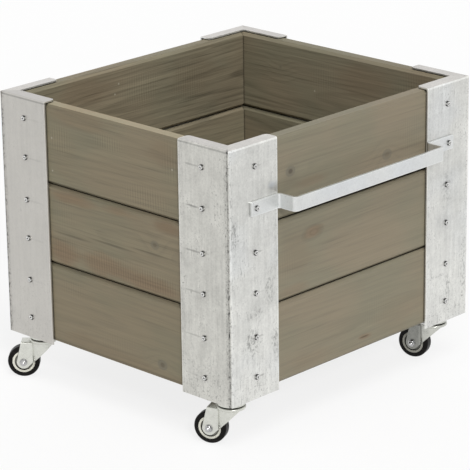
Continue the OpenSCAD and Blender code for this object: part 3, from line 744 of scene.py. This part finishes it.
def postFinish(corner, seed):
    look, wearAndShadeOf = postLook, postWearAndShade[corner]
    mat, tree, shader, position = newFinish("zinc_post_" + corner, metallic=zincLook["metallic"])
    low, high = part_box("post_" + corner)
    x, y, z = separated(tree, position)
    fromEdgeX = calc(tree, "ABSOLUTE", calc(tree, "SUBTRACT", x, low.x if "left" in corner else high.x))
    fromEdgeY = calc(tree, "ABSOLUTE", calc(tree, "SUBTRACT", y, low.y if "front" in corner else high.y))
    fromFold = calc(tree, "MAXIMUM", fromEdgeX, fromEdgeY)
    below = calc(tree, "SUBTRACT", high.z, z)
    blend = look["foldBlend"]
    onSide = smoothRange(tree, calc(tree, "SUBTRACT", fromEdgeY, fromEdgeX), -blend, blend)
    onFront = calc(tree, "SUBTRACT", 1.0, onSide)
    patterns = postPatterns(tree, position, fromFold, below, seed)
    edges = postEdges(tree, patterns, fromFold, below, onSide, onFront)

    value = layered(tree, 1.0, patterns, look["wearTones"], wearAndShadeOf["marks"])
    value = layered(tree, value, edges, look["edgeTones"])
    # painted shade: the side leg darker
    value = summed(tree, value, (onSide, 0.0, look["sideShade"] * wearAndShadeOf["side"] - 1.0))
    if corner in frontSmudges:
        height = calc(tree, "SUBTRACT", z, low.z)
        value = smudged(tree, value, patterns, fromFold, height, onFront, frontSmudges[corner])
    tint = wearAndShadeOf.get("tint", look["sideTint"])
    sideColor = tuple(channel * share for channel, share in zip(zincLook["grey"], tint))
    color = mixed(tree, onSide, zincColor(tree, position, 0.0), sideColor)
    # the lip's top, pinker and darker as a painted shade
    color = mixed(tree, smoothRange(tree, below, *look["lipEdge"]), color, zincLook["lip"])
    color = shaded(tree, color, value)

    # what ran down or took colour on the zinc
    heights = screwHeights(low, high)
    color = screwRuns(tree, color, patterns, fromFold, z, onSide, heights, wearAndShadeOf["runs"])
    if corner == blueSpot["corner"]:
        distance = ovalAround(tree, fromFold, z, blueSpot["fromFold"], low.z + blueSpot["height"],
                              blueSpot["halfWidth"], blueSpot["halfHeight"])
        near = calc(tree, "MULTIPLY", smoothRange(tree, distance, *blueSpot["fade"]), onFront)
        color = mixed(tree, near, color, zincLook["blue"])
    shade = crease(tree, look["creaseReach"], look["creaseDark"])
    finishSurface(tree, shader, shaded(tree, color, shade), patterns, look)
    return mat


for seed, corner in enumerate(corners, 1):
    plate = "foot_plate_" + corner
    wear("post_" + corner, postFinish(corner, seed))
    wear(plate, flatFinish(plate, seed + len(corners)))
wear("handle", flatFinish("handle", 11))
print("steel galvanised")


# castors and fasteners

# scale of the noises, contrast and roughness of the plating, and how dark the painted shade in its corners
# is and how far out that reaches
platedLook = {
    "fork": {"color": (0.65, 0.655, 0.605), "metallic": 0.9, "scale": 120.0, "contrast": 0.30,
             "roughness": 0.30, "dark": 0.50, "reach": 7 * mm},
    "bolts": {"color": (0.52, 0.52, 0.52), "metallic": 1.0, "scale": 260.0, "contrast": 0.30,
              "roughness": 0.24, "dark": 0.15, "reach": 6 * mm},
    "screws": {"color": (0.80, 0.80, 0.78), "metallic": 1.0, "scale": 400.0, "contrast": 0.30,
               "roughness": 0.18, "dark": 0.03, "reach": 2.5 * mm},
    "balls": {"color": (0.50, 0.50, 0.50), "metallic": 1.0, "scale": 500.0, "contrast": 0.15,
              "roughness": 0.16, "dark": 0.30, "reach": 6 * mm},
}

# what all plating shares
platingLook = {
    "cloud": (3.0, 0.6),          # detail and roughness of the noise
    "brushed": ((2, 2, 12), 3.0),                 # scale as a multiple of the cloud's, and detail
    "tones": {"cloud": (0.5, 1.0), "brushed": (0.5, 0.6)},    # as shares of the contrast
    "rough": {"cloud": (0.5, 0.22), "brushed": (0.5, 0.12)},
    "relief": {"cloud": (0.0, 1.0)},
    "bump": (0.15, 0.15 * mm),
}

# painted shade of the box over a castor, from none round the kingpin to its tone by the axle; rims as light
# as given
castorShade = {
    "forkTones": {"front_left": 1.0, "back_left": 1.0, "front_right": 0.42, "back_right": 0.85},
    "rimTones": {"front_left": 1.0, "back_left": 1.0, "front_right": 0.58, "back_right": 0.90},
    "kingpinLighter": 0.45,              # how much lighter the fork is round the kingpin, but never past 1
    "trail": (0.30, 0.70),        # range of the way from the kingpin to the axle
    "shadedBelow": 0.7,            # tone of a fork whose contrast grows
    "shadedContrast": 1.6,
}

# painted shade: a pan head's flat top stays bright and its round side is darkened, most of all below; the
# slat screws' heads look up, so they come out dark all over
screwLook = {
    "round": (0.80, 0.985, 0.04, 1.0),    # of how straight the face looks out of the wall
    "under": (-0.45, 0.05, 0.30, 1.0),    # of how far it looks up
}


def towardsWheel(tree, position, corner, cleanAndUnshaded, dirtyAndShaded):  # painted shade, from unshaded at the kingpin to shaded by the axle
    kingpin, wheel = (sum(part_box(piece + corner), Vector()) / 2 for piece in ("kingpin_", "rim_"))
    way = (wheel - kingpin) * Vector((1, 1, 0))
    trail = way.length
    way.normalize()
    x, y, _ = separated(tree, vectorCalc(tree, "SUBTRACT", position, tuple(kingpin)))
    along = calc(tree, "MULTIPLY_ADD", x, way.x, calc(tree, "MULTIPLY", y, way.y))
    return smoothRange(tree, along, *(share * trail for share in castorShade["trail"]), cleanAndUnshaded, dirtyAndShaded)


# painted shade on a screw head, by how far its face turns from the wall and how far down it looks
def screwHeadShade(tree):
    x, y, z = separated(tree, tree.nodes.new("ShaderNodeTexCoord").outputs["Normal"])
    straight = calc(tree, "MAXIMUM", calc(tree, "ABSOLUTE", x), calc(tree, "ABSOLUTE", y))
    return smoothRange(tree, straight, *screwLook["round"]), smoothRange(tree, z, *screwLook["under"])


def platedFinish(kind, seed, corner=None):  # corner only for a castor's fork
    look = {**platingLook, **platedLook[kind]}
    name = "plated_" + kind + ("_" + corner if corner else "")
    mat, tree, shader, position = newFinish(name, metallic=look["metallic"])
    tone = castorShade["forkTones"][corner] if corner else 1.0
    contrast = look["contrast"] * (castorShade["shadedContrast"] if tone < castorShade["shadedBelow"] else 1.0)
    stretch, detail = look["brushed"]
    moved = placed(tree, position, "POINT", place=(seed,) * 3)
    patterns = {
        "cloud": noise(tree, moved, look["scale"], *look["cloud"]),
        "brushed": stretchedNoise(tree, position, seed, tuple(look["scale"] * s for s in stretch), detail),
    }
    value = layered(tree, 1.0, patterns, look["tones"], contrast)
    # painted shade of the box over the castor, darker towards the wheel
    if corner:
        cleanAndUnshaded = min(1.0, tone + castorShade["kingpinLighter"])
        value = calc(tree, "MULTIPLY", value, towardsWheel(tree, position, corner, cleanAndUnshaded, tone))
    # painted shade on the screw heads
    if kind == "screws":
        for share in screwHeadShade(tree):
            value = calc(tree, "MULTIPLY", value, share)
    value = calc(tree, "MULTIPLY", value, crease(tree, look["reach"], look["dark"]))
    finishSurface(tree, shader, shaded(tree, look["color"], value), patterns, look)
    return mat


rimLook = {
    "cleanAndUnshaded": (0.74, 0.73, 0.64),
    "dirtyAndShaded": (0.52, 0.50, 0.41),
    "dirtRange": (0.52, 0.78),
    "specular": 0.45,
    "flow": (90.0, 3.0),
    "dirt": (260.0, 4.0, 0.65),
    "tones": {"flow": (0.5, 0.12)},
    "creaseReach": 9 * mm,
    "creaseDark": 0.12,
    "roughness": 0.38,
    "rough": {"dirt": (0.5, 0.3)},
    "relief": {"flow": (0.0, 1.0)},
    "bump": (0.12, 0.2 * mm),
}


def rimFinish(corner):
    look = rimLook
    mat, tree, shader, position = newFinish("cream_rim_" + corner, specular=look["specular"])
    patterns = {"flow": noise(tree, position, *look["flow"]), "dirt": noise(tree, position, *look["dirt"])}
    dirtyAndShaded = smoothRange(tree, patterns["dirt"], *look["dirtRange"])
    color = mixed(tree, dirtyAndShaded, look["cleanAndUnshaded"], look["dirtyAndShaded"])
    # painted shade: each castor's rim is as light as its rimTones
    value = layered(tree, castorShade["rimTones"][corner], patterns, look["tones"])
    value = calc(tree, "MULTIPLY", value, crease(tree, look["creaseReach"], look["creaseDark"]))
    finishSurface(tree, shader, shaded(tree, color, value), patterns, look)
    return mat


tyreLook = {
    "black": (0.005, 0.0045, 0.004),
    "scuffed": (0.020, 0.018, 0.017),
    "scuffRange": (0.50, 0.78),
    "specular": 0.12,
    "scuff": (130.0, 4.0, 0.65),
    "grain": (1500.0, 2.0),
    "roughness": 0.36,
    "rough": {"scuff": (0.5, 0.35), "grain": (0.5, 0.1)},
    "relief": {"grain": (0.5, 1.0), "scuff": (0.5, 0.8)},
    "bump": (0.25, 0.15 * mm),
}


def tyreFinish():
    look = tyreLook
    mat, tree, shader, position = newFinish("black_tyre", specular=look["specular"])
    patterns = {"scuff": noise(tree, position, *look["scuff"]),
                "grain": noise(tree, position, *look["grain"])}
    scuffed = smoothRange(tree, patterns["scuff"], *look["scuffRange"])
    finishSurface(tree, shader, mixed(tree, scuffed, look["black"], look["scuffed"]), patterns, look)
    return mat


boltFinish = platedFinish("bolts", 5)
screwFinish = platedFinish("screws", 7)
ballFinish = platedFinish("balls", 9)
rubber = tyreFinish()
for seed, corner in enumerate(corners, 1):
    forkFinish = platedFinish("fork", seed, corner)
    wear("castor_plate_" + corner, forkFinish)
    wear("fork_" + corner, forkFinish)
    wear("kingpin_" + corner, boltFinish)
    wear("axle_" + corner, boltFinish)
    wear("swivel_balls_" + corner, ballFinish)
    wear("rim_" + corner, rimFinish(corner))
    wear("tyre_" + corner, rubber)
wear("castor_bolts", boltFinish)
wear("castor_nuts", boltFinish)
wear("panel_screws", screwFinish)
wear("slat_screws", screwFinish)
print("castors and fasteners finished")


# studio

# to the camera and in the metal, shadowShare of the floor is lit, with the white floorSeen, and the rest
# glows, so that the shadow shows faintly
studio = {
    "floorRadius": 7.0,
    "floorSides": 96,
    "floorRoughness": 0.9,
    "floorSpecular": 0.1,
    "floorBounce": 0.72,          # white of the floor for the soft light that it sends back
    "shadowShare": 0.18,
    "floorSeen": 0.86,
    "worldLevel": 0.42,           # of the soft light; to the camera and in the metal the surround is white
}

# angle to the left of the handle's side, rise and width in degrees, seen from the planter; a level of 1
# shows white as white where the light falls straight on; the low lamp puts the handle's shadow under it
lamps = {
    "high": {"angle": 30.0, "rise": 60.0, "width": 26.0, "level": 0.42},
    "low": {"angle": 32.0, "rise": 31.0, "width": 9.0, "level": 0.35},
}


def rayIs(tree, *kinds):  # 1 for a ray of these kinds, else 0
    path = tree.nodes.new("ShaderNodeLightPath")
    return largest(tree, [path.outputs[kind] for kind in kinds])


def makeFloor():
    mesh = bpy.data.meshes.new("studio_floor")
    floor = bpy.data.objects.new("studio_floor", mesh)
    bpy.context.collection.objects.link(floor)
    bm = bmesh.new()
    bmesh.ops.create_circle(bm, cap_ends=True, segments=studio["floorSides"], radius=studio["floorRadius"])
    bm.to_mesh(mesh)
    bm.free()
    mat = bpy.data.materials.new("studio_floor")
    mat.use_nodes = True
    tree = mat.node_tree
    shader = tree.nodes["Principled BSDF"]
    shader.inputs["Roughness"].default_value = studio["floorRoughness"]
    shader.inputs["Specular IOR Level"].default_value = studio["floorSpecular"]
    seen = rayIs(tree, "Is Camera Ray", "Is Glossy Ray")
    bounce = (studio["floorBounce"],) * 3
    white = (studio["floorSeen"] * studio["shadowShare"],) * 3
    feed(tree, shader.inputs["Base Color"], mixed(tree, seen, bounce, white))
    shader.inputs["Emission Color"].default_value = (1, 1, 1, 1)
    feed(tree, shader.inputs["Emission Strength"], calc(tree, "MULTIPLY", seen, 1.0 - studio["shadowShare"]))
    mesh.materials.append(mat)


def makeWorld():
    world = bpy.data.worlds.new("studio")
    bpy.context.scene.world = world
    world.use_nodes = True
    tree = world.node_tree
    seen = rayIs(tree, "Is Camera Ray", "Is Glossy Ray", "Is Transmission Ray")
    background = tree.nodes["Background"]
    background.inputs["Color"].default_value = (1, 1, 1, 1)
    level = calc(tree, "MULTIPLY_ADD", seen, 1.0 - studio["worldLevel"], studio["worldLevel"])
    feed(tree, background.inputs["Strength"], level)


def makeLamp(name):
    look = lamps[name]
    turn = math.radians(look["angle"])
    rise = math.radians(look["rise"])
    way = Vector((-math.sin(turn) * math.cos(rise), -math.cos(turn) * math.cos(rise), math.sin(rise)))
    lamp = bpy.data.lights.new(name, "SUN")
    lamp.angle = math.radians(look["width"])
    lamp.energy = look["level"] * math.pi
    light = bpy.data.objects.new(name, lamp)
    bpy.context.collection.objects.link(light)
    light.rotation_euler = way.to_track_quat("Z", "Y").to_euler()


makeFloor()
makeWorld()
for name in lamps:
    makeLamp(name)
print("studio lit")


# camera: the photograph's viewing angle

view = {
    "azimuth": -45.9,
    "elevation": 18.8,
    "roll": -0.8,
    "right": -7.7 * mm,           # of the camera from the line of sight through the box's foot
    "up": 154.9 * mm,
    "distance": 4694.0 * mm,
    "focalPixels": 2600.0,
    "imagePixels": 470.0,
    "sensorWidth": 36.0,          # in mm, as the lens is
    "nearest": 0.1,
    "farthest": 50.0,
}


def middleOfFoot():  # between the four posts, at their lowest
    lows, highs = zip(*(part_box("post_" + corner) for corner in corners))
    return Vector(((min(p.x for p in lows) + max(p.x for p in highs)) / 2,
                   (min(p.y for p in lows) + max(p.y for p in highs)) / 2,
                   min(p.z for p in lows)))


def makeCamera():
    azimuth, elevation, roll = (math.radians(view[name]) for name in ("azimuth", "elevation", "roll"))
    back = Vector((math.sin(azimuth) * math.cos(elevation), -math.cos(azimuth) * math.cos(elevation),
                   math.sin(elevation)))
    level = Vector((math.cos(azimuth), math.sin(azimuth), 0))
    upright = back.cross(level)
    right = math.cos(roll) * level + math.sin(roll) * upright
    up = -math.sin(roll) * level + math.cos(roll) * upright
    place = middleOfFoot() + right * view["right"] + up * view["up"] + back * view["distance"]
    camera = bpy.data.objects.new("camera", bpy.data.cameras.new("camera"))
    bpy.context.collection.objects.link(camera)
    camera.matrix_world = Matrix.Translation(place) @ Matrix((right, up, back)).transposed().to_4x4()
    camera.data.sensor_width = view["sensorWidth"]
    camera.data.lens = view["focalPixels"] * view["sensorWidth"] / view["imagePixels"]
    camera.data.clip_start = view["nearest"]
    camera.data.clip_end = view["farthest"]
    bpy.context.scene.camera = camera


makeCamera()
bpy.context.scene.view_settings.view_transform = "Standard"
print("camera placed")
